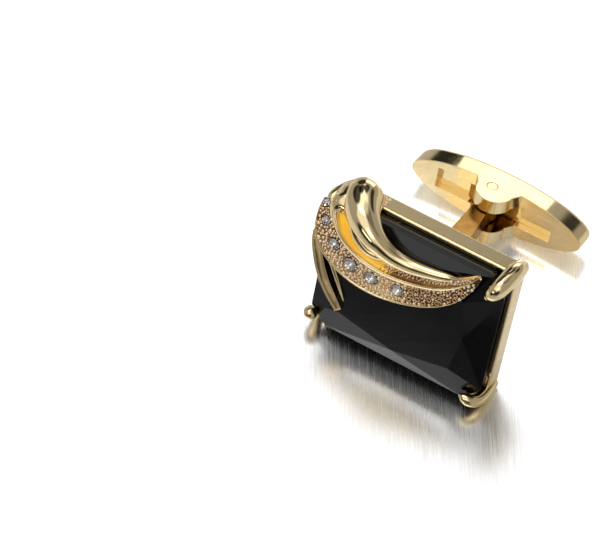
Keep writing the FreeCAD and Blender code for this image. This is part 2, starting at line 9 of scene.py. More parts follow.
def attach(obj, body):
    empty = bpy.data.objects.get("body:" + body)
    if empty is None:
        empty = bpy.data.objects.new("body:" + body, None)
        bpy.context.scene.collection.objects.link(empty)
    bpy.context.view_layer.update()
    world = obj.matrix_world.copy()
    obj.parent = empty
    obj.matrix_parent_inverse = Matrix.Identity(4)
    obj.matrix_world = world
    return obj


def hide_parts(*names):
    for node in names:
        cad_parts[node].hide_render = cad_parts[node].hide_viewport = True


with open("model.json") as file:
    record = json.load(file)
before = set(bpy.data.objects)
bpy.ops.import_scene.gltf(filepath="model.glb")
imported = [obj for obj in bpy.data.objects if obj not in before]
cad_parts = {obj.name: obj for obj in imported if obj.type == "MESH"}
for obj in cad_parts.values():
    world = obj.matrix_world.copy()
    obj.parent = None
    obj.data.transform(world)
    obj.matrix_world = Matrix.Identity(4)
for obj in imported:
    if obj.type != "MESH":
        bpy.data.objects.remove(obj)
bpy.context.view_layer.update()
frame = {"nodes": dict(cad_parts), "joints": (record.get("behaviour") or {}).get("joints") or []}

# Sizes of the head in millimetres, as in the part's own drawing
MM = 0.001
HEAD_LONG = 18.0
HEAD_SHORT = 14.68
STONE_HEIGHT = 4.4
PIN_OFFSET = -0.5
PIN_DEPTH = 13.06

# The head's own frame: along the head, up the head and out from its back, leaning as the hinge does
hinge = frame["joints"][0]
SIN_LEAN = hinge["axis"][1]
COS_LEAN = hinge["axis"][2]
PIN_PLACE = Vector((PIN_OFFSET, PIN_DEPTH * COS_LEAN, -PIN_DEPTH * SIN_LEAN))
SHIFT = Vector(hinge["pos_m"]) / MM - PIN_PLACE


def turned(along, up, out):
    """A direction in the head's frame, as a direction in the scene."""
    return Vector((along, up * SIN_LEAN - out * COS_LEAN, up * COS_LEAN + out * SIN_LEAN))


def placed(along, up, out):
    """A point in the head's frame in millimetres, as a point in the scene in metres."""
    return (turned(along, up, out) + SHIFT) * MM


def from_shares(along, up, out):
    """A point from shares of half the head's length, half its height and the stone's height."""
    return Vector((along * HEAD_LONG / 2, up * HEAD_SHORT / 2, out * STONE_HEIGHT))


# Helpers for meshes
def mesh_object(name, points, faces, materials, slots=None):
    """A smooth-shaded mesh from points in the scene's metres."""
    mesh = bpy.data.meshes.new(name)
    mesh.from_pydata(points, [], faces)
    for material in materials:
        mesh.materials.append(material)
    if slots:
        mesh.polygons.foreach_set("material_index", slots)
    mesh.shade_smooth()
    mesh.update()
    piece = bpy.data.objects.new(name, mesh)
    bpy.context.scene.collection.objects.link(piece)
    return piece


def add_to_head(piece, node=None):
    """Lets a piece ride on the head and hides the CAD node that it stands for."""
    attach(piece, "head")
    if node:
        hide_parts(node)


def ring_faces(rings, sides):
    """Quads between closed rings of equal size, which follow each other in the list of points."""
    faces = []
    for ring in range(rings - 1):
        for k in range(sides):
            a = ring * sides + k
            b = ring * sides + (k + 1) % sides
            faces.append((a, b, b + sides, a + sides))
    return faces


def end_faces(rings, sides):
    """The flat faces that close the first and the last of some rings."""
    return [tuple(range(sides))[::-1], tuple(range((rings - 1) * sides, rings * sides))]


def cone_faces(first, sides, tip):
    """Triangles from a ring, given by its first point, to a tip."""
    return [(first + k, first + (k + 1) % sides, tip) for k in range(sides)]


def spoke(side, other, turn):
    """The direction that is a given turn away from one side towards the other."""
    return side * math.cos(turn) + other * math.sin(turn)


def across_pair(outward):
    """Two directions at right angles to an outward one and to each other."""
    side = Vector((1, 0, 0)) - outward * outward.x
    side.normalize()
    return side, outward.cross(side)


# Helpers for shader nodes
NOISE_LOW = 0.3
NOISE_HIGH = 0.7
RAMP_LOW = 0.35
RAMP_HIGH = 0.65
BUMP_DEPTH = 0.00002
BEVEL_SAMPLES = 4


def new_material(name):
    """A material with its node tree and its shader."""
    material = bpy.data.materials.new(name)
    material.use_nodes = True
    tree = material.node_tree
    shader = tree.nodes["Principled BSDF"]
    return material, tree, shader


def noise(tree, scale, detail=4.0):
    """A soft noise in the object's own coordinates, with a given number of waves in a metre."""
    coords = tree.nodes.new("ShaderNodeTexCoord")
    texture = tree.nodes.new("ShaderNodeTexNoise")
    texture.inputs["Scale"].default_value = scale
    texture.inputs["Detail"].default_value = detail
    tree.links.new(coords.outputs["Object"], texture.inputs["Vector"])
    return texture.outputs["Fac"]


def ranged(tree, value, start, end, low, high, interpolation="LINEAR"):
    """A value that goes from low to high as another one goes from start to end."""
    node = tree.nodes.new("ShaderNodeMapRange")
    node.interpolation_type = interpolation
    node.inputs["From Min"].default_value = start
    node.inputs["From Max"].default_value = end
    node.inputs["To Min"].default_value = low
    node.inputs["To Max"].default_value = high
    tree.links.new(value, node.inputs["Value"])
    return node.outputs["Result"]


def mapped(tree, value, low, high):
    """A noise's value, spread between two numbers."""
    return ranged(tree, value, NOISE_LOW, NOISE_HIGH, low, high)


def maths(tree, operation, *values):
    """A sum or product of numbers and other nodes' outputs."""
    node = tree.nodes.new("ShaderNodeMath")
    node.operation = operation
    for socket, value in zip(node.inputs, values):
        if isinstance(value, float):
            socket.default_value = value
        else:
            tree.links.new(value, socket)
    return node.outputs[0]


def ramp(tree, value, light, dark):
    """A colour between two colours, by a noise's value."""
    node = tree.nodes.new("ShaderNodeValToRGB")
    first, last = node.color_ramp.elements
    first.position = RAMP_LOW
    first.color = (*light, 1.0)
    last.position = RAMP_HIGH
    last.color = (*dark, 1.0)
    tree.links.new(value, node.inputs["Fac"])
    return node.outputs["Color"]


def bumped(tree, shader, value, strength, edge=0.0):
    """A bumpy surface, with edges rounded by a given radius in metres."""
    bump = tree.nodes.new("ShaderNodeBump")
    bump.inputs["Strength"].default_value = strength
    bump.inputs["Distance"].default_value = BUMP_DEPTH
    tree.links.new(value, bump.inputs["Height"])
    if edge:
        bevel = tree.nodes.new("ShaderNodeBevel")
        bevel.samples = BEVEL_SAMPLES
        bevel.inputs["Radius"].default_value = edge
        tree.links.new(bevel.outputs["Normal"], bump.inputs["Normal"])
    tree.links.new(bump.outputs["Normal"], shader.inputs["Normal"])


# Gold finishes
TONE_SCALE = 260.0
SMEAR_SCALE = 900.0
PEEL_DETAIL = 2.0
PLATE_EDGE = 0.00012


def gold(name, light, dark, rough, peel, bump, edge=0.0, metal=1.0):
    """Gold plate: a slow change of tone, smears in its polish and a faint orange-peel surface."""
    material, tree, shader = new_material(name)
    shader.inputs["Metallic"].default_value = metal
    colour = ramp(tree, noise(tree, TONE_SCALE), light, dark)
    tree.links.new(colour, shader.inputs["Base Color"])
    tree.links.new(mapped(tree, noise(tree, SMEAR_SCALE), *rough), shader.inputs["Roughness"])
    bumped(tree, shader, noise(tree, peel, PEEL_DETAIL), bump, edge)
    return material


polished = gold(
    "polished_gold",
    light=(0.93, 0.75, 0.43),
    dark=(0.90, 0.70, 0.37),
    rough=(0.05, 0.11),
    peel=1500.0,
    bump=0.04,
)
plate = gold(
    "gold_plate",
    light=(0.93, 0.75, 0.43),
    dark=(0.90, 0.70, 0.37),
    rough=(0.06, 0.14),
    peel=1500.0,
    bump=0.04,
    edge=PLATE_EDGE,
)
# Dark amber plate for the post and the spring: painted shade, standing in for the darker reflections on
# the post and in the toggle's channel.
amber_shade = gold(
    "amber_painted_shade_gold",
    light=(0.38, 0.20, 0.048),
    dark=(0.32, 0.16, 0.030),
    rough=(0.18, 0.30),
    peel=2500.0,
    bump=0.15,
    edge=PLATE_EDGE,
)
matt = gold(
    "matt_gold",
    light=(1.0, 0.66, 0.10),
    dark=(0.98, 0.56, 0.05),
    rough=(0.34, 0.46),
    peel=9000.0,
    bump=0.35,
    metal=0.25,
)
# Near-black gold for the jewelled band's floor: painted shade in the pits and gaps between the beads.
grained = gold(
    "grained_painted_shade_gold",
    light=(0.12, 0.055, 0.02),
    dark=(0.06, 0.025, 0.01),
    rough=(0.22, 0.40),
    peel=6000.0,
    bump=0.4,
)
# Dark reddish gold for the jewelled floor near the stones and for the groove towards its tip: painted
# shade between the beads.
copper_shade = gold(
    "copper_painted_shade_gold",
    light=(0.56, 0.32, 0.12),
    dark=(0.20, 0.085, 0.025),
    rough=(0.20, 0.36),
    peel=6000.0,
    bump=0.4,
)
ring_gold = gold(
    "ring_gold",
    light=(0.78, 0.52, 0.28),
    dark=(0.58, 0.36, 0.17),
    rough=(0.08, 0.18),
    peel=3000.0,
    bump=0.1,
)
# Paler gold for the beads and grains: a painted highlight that makes them stand out bright against the
# floor.
bead_highlight_gold = gold(
    "bead_highlight_gold",
    light=(1.0, 0.88, 0.66),
    dark=(0.98, 0.76, 0.50),
    rough=(0.05, 0.14),
    peel=3000.0,
    bump=0.1,
    metal=0.9,
)
# Browner gold for the leaf's valley: painted shade in its crease.
valley_shade = gold(
    "brown_painted_shade_gold",
    light=(0.82, 0.60, 0.31),
    dark=(0.55, 0.36, 0.16),
    rough=(0.16, 0.30),
    peel=3000.0,
    bump=0.2,
)


# Glass and foil
GEM_TONE_SCALE = 900.0


def black_glass():
    """Glossy black glass with softly rounded facet edges."""
    material, tree, shader = new_material("black_glass")
    tone = noise(tree, scale=400.0)
    colour = ramp(tree, tone, light=(0.0010, 0.0010, 0.0012), dark=(0.0020, 0.0020, 0.0024))
    tree.links.new(colour, shader.inputs["Base Color"])
    smear = noise(tree, scale=700.0)
    tree.links.new(mapped(tree, smear, low=0.07, high=0.10), shader.inputs["Roughness"])
    shader.inputs["IOR"].default_value = 1.31
    bumped(tree, shader, noise(tree, scale=500.0, detail=1.0), strength=0.01, edge=0.00006)
    return material


def clear_glass():
    """The clear glass of a rhinestone's crown."""
    material, tree, shader = new_material("clear_glass")
    tone = noise(tree, GEM_TONE_SCALE)
    colour = ramp(tree, tone, light=(0.98, 0.98, 0.99), dark=(0.95, 0.93, 0.92))
    tree.links.new(colour, shader.inputs["Base Color"])
    shader.inputs["Transmission Weight"].default_value = 1.0
    shader.inputs["IOR"].default_value = 1.75
    shader.inputs["Roughness"].default_value = 0.0
    return material


def silver_foil():
    """The mirror foil behind a rhinestone."""
    material, tree, shader = new_material("silver_foil")
    shader.inputs["Metallic"].default_value = 1.0
    tone = noise(tree, GEM_TONE_SCALE)
    colour = ramp(tree, tone, light=(0.88, 0.84, 0.80), dark=(0.70, 0.64, 0.58))
    tree.links.new(colour, shader.inputs["Base Color"])
    shader.inputs["Roughness"].default_value = 0.12
    return material


gem_clear = clear_glass()
gem_foil = silver_foil()

# Finishes of the CAD nodes that stay
NODE_MATERIALS = {
    "setting_tray": plate,
    # The post and the spring take the amber plate, a painted shade.
    "post": amber_shade,
    "toggle_body": plate,
    "hinge_pin": plate,
    "black_stone": black_glass(),
    "toggle_spring": amber_shade,
}
for node, material in NODE_MATERIALS.items():
    slots = frame["nodes"][node].data.materials
    slots.clear()
    slots.append(material)


# Bars: claws, horns, spike, and the crescent's knob and corner claw

# Radii are in millimetres. A station is a place along and up the head and out from its back, and a
# girth: shares of half the head's length, half its height, the stone's height and the bar's radius.
CLAW_RADIUS = 0.845
CLAW = [
    (0.96, 0.98, 0.05, 0.80),
    (0.96, 1.01, 0.35, 1.00),
    (0.95, 1.00, 0.70, 1.00),
    (0.93, 0.95, 0.90, 0.95),
    (0.89, 0.87, 0.98, 0.80),
    (0.85, 0.80, 0.98, 0.40),
]
HOOK_RADIUS = 0.62
HOOK = [
    (0.97, -0.94, 0.04, 0.85),
    (0.98, -0.95, 0.34, 1.00),
    (0.98, -0.95, 0.60, 1.00),
    (0.96, -0.94, 0.78, 0.97),
    (0.91, -0.92, 0.89, 0.90),
    (0.85, -0.90, 0.91, 0.68),
    (0.82, -0.90, 0.90, 0.40),
]
BALL_RADIUS = 0.58
BALL = [
    (-0.97, -0.94, 0.04, 0.80),
    (-0.98, -0.94, 0.36, 0.90),
    (-0.97, -0.92, 0.64, 0.92),
    (-0.97, -0.88, 0.80, 1.12),
    (-0.96, -0.86, 0.87, 1.02),
]
HORN_RADIUS = 1.5
HORN = [
    (-0.74, 0.94, 0.08, 0.80),
    (-0.755, 0.97, 0.22, 1.10),
    (-0.745, 1.00, 0.40, 1.25),
    (-0.685, 1.00, 0.66, 1.17),
    (-0.575, 0.975, 0.93, 0.97),
    (-0.40, 0.885, 1.12, 0.73),
    (-0.21, 0.79, 1.15, 0.58),
    (0.00, 0.75, 1.12, 0.48),
    (0.24, 0.775, 1.08, 0.37),
    (0.43, 0.81, 1.02, 0.25),
    (0.52, 0.83, 0.96, 0.06),
]
SLIM_RADIUS = 0.42
SLIM = [
    (-0.71, 1.05, 0.92, 0.40),
    (-0.69, 0.99, 1.03, 0.65),
    (-0.64, 0.90, 1.12, 0.88),
    (-0.57, 0.80, 1.16, 1.00),
    (-0.45, 0.70, 1.18, 0.92),
    (-0.33, 0.675, 1.17, 0.70),
    (-0.21, 0.69, 1.14, 0.15),
]
SPIKE_RADIUS = 0.22
SPIKE = [
    (-0.87, 0.21, 0.96, 1.00),
    (-0.79, 0.08, 0.99, 1.00),
    (-0.70, -0.08, 1.03, 0.90),
    (-0.60, -0.30, 1.05, 0.25),
]
KNOB_RADIUS = 1.05
KNOB_FLATTEN = 0.55
KNOB = [
    (-0.86, 0.93, 0.10, 0.80),
    (-0.85, 0.96, 0.22, 1.15),
    (-0.84, 1.00, 0.46, 1.50),
    (-0.835, 1.015, 0.66, 1.45),
    (-0.86, 1.01, 0.79, 1.10),
    (-0.905, 0.985, 0.87, 0.74),
    (-0.91, 0.905, 0.93, 0.50),
    (-0.872, 0.812, 0.985, 0.36),
    (-0.815, 0.726, 1.035, 0.28),
    (-0.75, 0.653, 1.065, 0.20),
    (-0.68, 0.592, 1.07, 0.12),
]
CORNER_RADIUS = 0.65
CORNER = [
    (-0.96, 0.92, 0.04, 0.80),
    (-0.98, 0.93, 0.30, 1.00),
    (-1.01, 0.91, 0.58, 1.00),
    (-1.02, 0.86, 0.74, 0.60),
]
# How finely a bar is divided: round it, between two stations and over its tip.
BAR_SIDES = 40
BAR_STEPS = 8
TIP_RINGS = 7
# The way a flattened bar's broad side faces: up, out and a little to the left of the head.
FRONT = Vector((-0.25, 0.60, 0.76)).normalized()


def slope_at(values, knots, k):
    """The slope of a smooth line at a station, from the stations beside it."""
    before = max(k - 1, 0)
    after = min(k + 1, len(values) - 1)
    return (values[after] - values[before]) / (knots[after] - knots[before])


def smooth_line(shares):
    """Places and girths along a smooth line through a bar's stations."""
    values = [Vector((*from_shares(along, up, out), girth)) for along, up, out, girth in shares]
    knots = [0.0]
    for start, end in zip(values, values[1:]):
        knots.append(knots[-1] + (end.to_3d() - start.to_3d()).length)
    slopes = [slope_at(values, knots, k) for k in range(len(values))]
    line = []
    for k in range(len(values) - 1):
        gap = knots[k + 1] - knots[k]
        for step in range(BAR_STEPS):
            t = step / BAR_STEPS
            line.append(
                values[k] * (2 * t**3 - 3 * t**2 + 1)
                + values[k + 1] * (3 * t**2 - 2 * t**3)
                + slopes[k] * (gap * (t**3 - 2 * t**2 + t))
                + slopes[k + 1] * (gap * (t**3 - t**2))
            )
    line.append(values[-1])
    return line


def headings(middles):
    """The direction of a line at each of its points."""
    last = len(middles) - 1
    steps = [middles[min(k + 1, last)] - middles[max(k - 1, 0)] for k in range(last + 1)]
    return [step.normalized() for step in steps]


def bar(name, shares, radius, flatten=0.0):
    """A tapering gold bar along a smooth line, with a rounded tip and, if wanted, a flattened front."""
    line = smooth_line(shares)
    middles = [station.to_3d() for station in line]
    girths = [station[3] * radius for station in line]
    heads = headings(middles)
    end = middles[-1]
    end_girth = girths[-1]
    end_head = heads[-1]
    for k in range(1, TIP_RINGS):
        turn = math.pi / 2 * k / TIP_RINGS
        middles.append(end + end_head * (end_girth * math.sin(turn)))
        girths.append(end_girth * math.cos(turn))
        heads.append(end_head)
    side = Vector((1, 0, 0))
    points = []
    for middle, girth, head in zip(middles, girths, heads):
        side = (side - head * side.dot(head)).normalized()
        other = head.cross(side)
        for k in range(BAR_SIDES):
            reach = spoke(side, other, 2 * math.pi * k / BAR_SIDES)
            reach -= FRONT * (reach.dot(FRONT) * flatten)
            points.append(placed(*(middle + reach * girth)))
    points.append(placed(*(end + end_head * end_girth)))
    faces = ring_faces(len(middles), BAR_SIDES)
    faces.append(tuple(range(BAR_SIDES))[::-1])
    faces += cone_faces((len(middles) - 1) * BAR_SIDES, BAR_SIDES, len(points) - 1)
    return mesh_object(name, points, faces, [polished])


BARS = {
    "claw_top_right": (CLAW, CLAW_RADIUS),
    "claw_bottom_right": (HOOK, HOOK_RADIUS),
    "claw_bottom_left": (BALL, BALL_RADIUS),
    "polished_horn": (HORN, HORN_RADIUS),
    "slim_horn": (SLIM, SLIM_RADIUS),
    "leaf_spike": (SPIKE, SPIKE_RADIUS),
}
for node, (shares, radius) in BARS.items():
    add_to_head(bar(f"{node}_smooth", shares, radius), node)


# Crescent

# Its outer edge is an oval, with angles in degrees, and its inner edge a cubic curve. Both are in
# shares of half the head's length and height.
OVAL_CENTRE = (-0.20, 0.98)
OVAL_MEAN = 0.855
OVAL_SWELL = 0.10
OVAL_UP = 1.226
OVAL_TURN = 200.0
OVAL_START = 184.0
OVAL_SWEEP = 132.0
OVAL_GAIN = 41.0
INNER = [(-0.81, 1.04), (-0.58, 0.44), (0.17, 0.57), (0.69, 0.95)]
# It starts low and narrow where it rolls over the corner, and thins to its tip.
START_DROP = 0.26
START_TUCK = 0.20
START_REACH = 0.24
START_SQUEEZE = 0.30
TIP_DROP = 0.15
TIP_REACH = 0.14
TIP_FULL = 0.35
TIP_TAPER = 0.32
# Heights of its section in millimetres.
OUTER_RISE = 0.35
INNER_RISE = 0.75
GROOVE_RISE = 0.45
GROOVE_HOLLOW = 0.10
RIM_DEPTH = 0.16
RIM_LIP = 0.02
SINK = 1.4
# Places across its section, as shares of its width.
RIM = 0.055
BAND = 0.635
STRIP = 0.67
STRIP_END = 0.77
GROOVE = 0.80
# The rounded outer rim: shares of its height, and a power that makes it full.
WALL_TOP = 0.2
RIM_BASE = 0.45
RIM_POWER = 0.8
# How finely it is divided, across and along.
RIM_STEPS = 8
FLOOR_MARKS = 19
FLOOR_INSET = 0.2
GROOVE_STEPS = 7
BAND_SPANS = 180
EDGE_STEP = 0.01
# The strip's section: shares of its width and of its height, with the crest near the groove.
STRIP_SHAPE = [
    (0.0, 0.0),
    (0.04, 0.38),
    (0.14, 0.60),
    (0.30, 0.78),
    (0.48, 0.90),
    (0.66, 0.98),
    (0.80, 1.0),
    (0.90, 0.95),
    (0.96, 0.72),
    (1.0, 0.0),
]
# Its materials by number, and where they change: along the crescent, and on the strip's back.
# The second and fourth materials are painted shade: dark golds for the floor between the beads, the
# fourth also along the groove towards its tip.
SMOOTH, GRAINED_SHADE, MATT, WARM_SHADE = range(4)
CRESCENT_MATERIALS = [polished, grained, matt, copper_shade]
GRAIN_START = 0.50
PITS_START = 0.64
STRIP_BACK = 0.92
MIX_REACH = 0.05
MIX_SEED = 2
# Its rhinestones: place along and across it, and size as a share of the largest radius.
GEMS = [
    (0.02, 0.24, 0.60),
    (0.10, 0.36, 0.68),
    (0.22, 0.40, 0.85),
    (0.345, 0.38, 1.00),
    (0.46, 0.40, 0.95),
    (0.60, 0.38, 0.85),
]
GEM_RADIUS = 0.71
PIT_SHARE = 0.85


def start_share(share):
    """How much of the crescent's rolled-over start is left, a share of the way along it."""
    return max(0.0, 1 - share / START_REACH) ** 2


def band_edges(share):
    """The crescent's outer and inner edge, a share of the way along it, in the head's frame."""
    angle = OVAL_START + OVAL_SWEEP * share + OVAL_GAIN * share**2
    reach = OVAL_MEAN + OVAL_SWELL * math.cos(math.radians(2 * (angle - OVAL_TURN)))
    outer_along = OVAL_CENTRE[0] + reach * math.cos(math.radians(angle))
    outer_up = OVAL_CENTRE[1] + OVAL_UP * reach * math.sin(math.radians(angle))
    rest = 1 - share
    weights = (rest**3, 3 * rest**2 * share, 3 * rest * share**2, share**3)
    inner_along = sum(weight * place[0] for weight, place in zip(weights, INNER))
    inner_up = sum(weight * place[1] for weight, place in zip(weights, INNER))
    start = start_share(share)
    tip = max(0.0, 1 - rest / TIP_REACH) ** 2
    out = 1 - START_DROP * start - TIP_DROP * tip
    outer = from_shares(outer_along, outer_up, out)
    inner = from_shares(inner_along, inner_up, out)
    return outer + (inner - outer) * (START_TUCK * start), inner


def band_frame(share):
    """Outer edge, width, outward direction and fullness, a share of the way along the crescent."""
    outer, inner = band_edges(share)
    before = band_edges(max(share - EDGE_STEP, 0))
    after = band_edges(min(share + EDGE_STEP, 1))
    along = (after[0] + after[1] - before[0] - before[1]).normalized()
    full = min(1.0, TIP_FULL + (1 - share) / TIP_TAPER)
    start = start_share(share)
    rolled = -(inner - outer).cross(along).normalized()
    outward = rolled * start + Vector((0, 0, 1)) * (1 - start)
    return outer, inner - outer, outward.normalized(), full


def floor_height(across):
    """The height of the jewelled band's sloping floor."""
    part = (across - RIM) / (BAND - RIM)
    return OUTER_RISE - RIM_DEPTH + (INNER_RISE - RIM_DEPTH - OUTER_RISE) * part


def groove_height(across):
    """The height of the hollow groove along the inner edge."""
    part = (across - STRIP_END) / (1 - STRIP_END)
    return GROOVE_RISE - RIM_DEPTH * (1 - part) - GROOVE_HOLLOW * math.sin(math.pi * part)


def squeezed(share, across):
    """A place across the crescent, moved out near its start, where the jewelled band is narrow."""
    band = BAND * (1 - START_SQUEEZE * start_share(share))
    if across < BAND:
        return across * band / BAND
    return 1 - (1 - across) * (1 - band) / (1 - BAND)


def band_point(share, across):
    """A point of the jewelled floor or the groove and its outward direction, in the head's frame."""
    outer, width, outward, full = band_frame(share)
    height = floor_height(across) if across < STRIP else groove_height(across)
    return outer + width * squeezed(share, across) + outward * (height * full), outward


gem_seats = [(band_point(share, across)[0], GEM_RADIUS * size) for share, across, size in GEMS]


def pit_depth(point):
    """How far the floor is sunk at a point, to hold the pointed back of a stone."""
    depth = 0.0
    for seat, radius in gem_seats:
        depth = max(depth, PIT_SHARE * (radius - (point - seat).length))
    return depth


# The crescent's section, as marks: place across, height and material
def rim_marks():
    """The outer wall and the rounded outer rim."""
    marks = [(0.0, -SINK, SMOOTH), (0.0, OUTER_RISE * WALL_TOP, SMOOTH)]
    for k in range(RIM_STEPS):
        turn = math.pi * k / RIM_STEPS
        rise = RIM_BASE + (1 - RIM_BASE) * math.sin(turn) ** RIM_POWER
        marks.append((RIM / 2 - RIM / 2 * math.cos(turn), OUTER_RISE * rise, SMOOTH))
    marks.append((RIM, floor_height(RIM) + RIM_LIP, GRAINED_SHADE))
    return marks


def floor_marks():
    """The floor of the jewelled band."""
    marks = []
    for k in range(FLOOR_MARKS):
        part = (k + FLOOR_INSET) / (FLOOR_MARKS - 1 + 2 * FLOOR_INSET)
        across = RIM + (BAND - RIM) * part
        marks.append((across, floor_height(across), GRAINED_SHADE))
    return marks


def strip_marks():
    """The polished strip between the jewelled band and the groove."""
    marks = []
    for part, rise in STRIP_SHAPE:
        low = floor_height(BAND) + (GROOVE_RISE - RIM_DEPTH - floor_height(BAND)) * part
        slot = SMOOTH if part < STRIP_BACK else MATT
        marks.append((BAND + (STRIP_END - BAND) * part, low + (INNER_RISE - low) * rise, slot))
    return marks


def groove_marks():
    """The matt groove and the inner wall."""
    marks = []
    for k in range(1, GROOVE_STEPS + 1):
        across = STRIP_END + (1 - STRIP_END) * k / GROOVE_STEPS
        marks.append((across, groove_height(across), MATT))
    marks.append((1.0, -SINK, SMOOTH))
    return marks


def crescent_slots(profile):
    """The material of each face along the crescent, mixed where one goes over into another."""
    draw = random.Random(MIX_SEED)
    slots = []
    for ring in range(BAND_SPANS):
        for across, height, slot in profile:
            share = ring / BAND_SPANS + draw.uniform(-MIX_REACH, MIX_REACH)
            # The floor near the stones and the far end of the groove take the warm gold, a painted
            # shade.
            warm_shade_floor = slot == GRAINED_SHADE and share < PITS_START
            warm_shade_groove = slot == MATT and share > GRAIN_START
            slots.append(WARM_SHADE if warm_shade_floor or warm_shade_groove else slot)
    return slots + [SMOOTH, SMOOTH]


def crescent():
    """The crescent's rims, floor and groove, with a pit for each rhinestone."""
    profile = rim_marks() + floor_marks() + strip_marks() + groove_marks()
    points = []
    for k in range(BAND_SPANS + 1):
        share = k / BAND_SPANS
        outer, width, outward, full = band_frame(share)
        for across, height, slot in profile:
            high = height * full if height > 0 else height
            point = outer + width * squeezed(share, across) + outward * high
            depth = pit_depth(point) if slot == GRAINED_SHADE else 0.0
            points.append(placed(*(point - outward * depth)))
    faces = ring_faces(BAND_SPANS + 1, len(profile))
    faces += end_faces(BAND_SPANS + 1, len(profile))
    return mesh_object("crescent_smooth", points, faces, CRESCENT_MATERIALS, crescent_slots(profile))


add_to_head(crescent(), "crescent_band")
add_to_head(bar("crescent_knob", KNOB, KNOB_RADIUS, KNOB_FLATTEN))
add_to_head(bar("crescent_corner", CORNER, CORNER_RADIUS))


# Rhinestones
GEM_FACETS = 8
# Rings of corners for the table, the crown's middle and both edges of the girdle: count, reach and
# height as shares of the stone's radius, and turn as a share of the step to the next corner.
GEM_RINGS = [
    (GEM_FACETS, 0.53, 0.34, 0.0),
    (GEM_FACETS, 0.78, 0.20, 0.5),
    (2 * GEM_FACETS, 1.0, 0.0, 0.0),
    (2 * GEM_FACETS, 1.0, -0.06, 0.0),
]
GEM_DEPTH = 0.6
GEM_LIFT = 0.10
# Small steps along and across the crescent, which give the slope under a stone.
GEM_STEP = 0.02
GEM_REACH = 0.05
CLEAR, FOIL = range(2)


def brilliant_points(centre, outward, along, radius):
    """The corners of a round brilliant, ring by ring, then its point."""
    side = (along - outward * along.dot(outward)).normalized()
    other = outward.cross(side)
    points = []
    for count, share, height, offset in GEM_RINGS:
        for k in range(count):
            reach = spoke(side, other, 2 * math.pi * (k + offset) / count) * (radius * share)
            points.append(placed(*(centre + reach + outward * (radius * height))))
    points.append(placed(*(centre - outward * (radius * GEM_DEPTH))))
    return points


def brilliant(name, centre, outward, along, radius):
    """A round brilliant: table, star, kite and girdle facets over a foiled point."""
    mid = GEM_FACETS
    girdle = 2 * GEM_FACETS
    lower = 4 * GEM_FACETS
    culet = 6 * GEM_FACETS
    faces = [tuple(range(GEM_FACETS))]
    slots = [CLEAR]
    for k in range(GEM_FACETS):
        after = (k + 1) % GEM_FACETS
        before = (k - 1) % GEM_FACETS
        faces.append((k, mid + k, after))
        faces.append((k, mid + before, girdle + 2 * k, mid + k))
        faces.append((mid + k, girdle + 2 * k, girdle + 2 * k + 1))
        faces.append((mid + k, girdle + 2 * k + 1, girdle + 2 * after))
        slots += [CLEAR] * 4
    for k in range(2 * GEM_FACETS):
        after = (k + 1) % (2 * GEM_FACETS)
        faces.append((girdle + k, lower + k, lower + after, girdle + after))
        faces.append((lower + k, culet, lower + after))
        slots += [CLEAR, FOIL]
    points = brilliant_points(centre, outward, along, radius)
    piece = mesh_object(name, points, faces, [gem_clear, gem_foil], slots)
    piece.data.shade_flat()
    return piece


def rhinestone(name, share, across, size):
    """A brilliant in its pit, square to the floor of the jewelled band."""
    centre, outward = band_point(share, across)
    along = band_point(share + GEM_STEP, across)[0] - centre
    low = band_point(share, across - GEM_REACH)[0]
    high = band_point(share, across + GEM_REACH)[0]
    tilt = along.cross(high - low).normalized()
    if tilt.dot(outward) <= 0:
        tilt = -tilt
    return brilliant(name, centre + outward * GEM_LIFT, tilt, along, GEM_RADIUS * size)


for number, (share, across, size) in enumerate(GEMS, start=1):
    piece = rhinestone(f"rhinestone_{number}_cut", share, across, size)
    add_to_head(piece, f"rhinestone_{number}")


# Beads of the jewelled band, rings round small pits near its tip, and grains in the groove
SPACING = 1.02
SEAT_SHARE = 0.98
BALL_SINK = 0.6
PIT_SIDES = 18
WIRE_SIDES = 8
WIRE_SHARE = 0.30
RING_INSET = 0.07
BEAD_INSET = 0.025
FILL_INSET = 0.02
GRAIN_LEAD = 0.04
# A small grained patch on the top rail. Its places are shares of half the head's length and of the
# stone's height, and its radii are in millimetres.
PATCH_SEED = 4
PATCH_COUNT = 26
PATCH_ALONG = (-0.62, -0.52)
PATCH_OUT = (0.06, 0.36)
PATCH_RADII = (0.10, 0.15)


def scattered(seed, tries, shares, acrosses, radii, taken):
    """Places for round grains that keep clear of each other and of what is there already."""
    draw = random.Random(seed)
    places = []
    for _ in range(tries):
        share = draw.uniform(*shares)
        across = draw.uniform(*acrosses)
        radius = draw.uniform(*radii)
        point, outward = band_point(share, across)
        if all((point - other).length > (radius + reach) * SPACING for other, reach in taken):
            places.append((point, outward, radius))
            taken.append((point, radius))
    return places


def rail_patch():
    """Places for the grained patch on the top rail, beside the horn."""
    draw = random.Random(PATCH_SEED)
    places = []
    for _ in range(PATCH_COUNT):
        along = draw.uniform(*PATCH_ALONG)
        out = draw.uniform(*PATCH_OUT)
        radius = draw.uniform(*PATCH_RADII)
        places.append((from_shares(along, 1.0, out), Vector((0, 1, 0)), radius))
    return places


def grains(name, places, material, sides=10, rings=4):
    """Round grains, each a little more than half a ball."""
    points = []
    faces = []
    for centre, outward, radius in places:
        side, other = across_pair(outward)
        first = len(points)
        for ring in range(rings):
            turn = math.pi / 2 * (ring - BALL_SINK) / (rings - BALL_SINK)
            rise = outward * (radius * math.sin(turn))
            for k in range(sides):
                reach = spoke(side, other, 2 * math.pi * k / sides) * (radius * math.cos(turn))
                points.append(placed(*(centre + reach + rise)))
        points.append(placed(*(centre + outward * radius)))
        for face in ring_faces(rings, sides):
            faces.append(tuple(first + corner for corner in face))
        faces += cone_faces(first + (rings - 1) * sides, sides, len(points) - 1)
    return mesh_object(name, points, faces, [material])


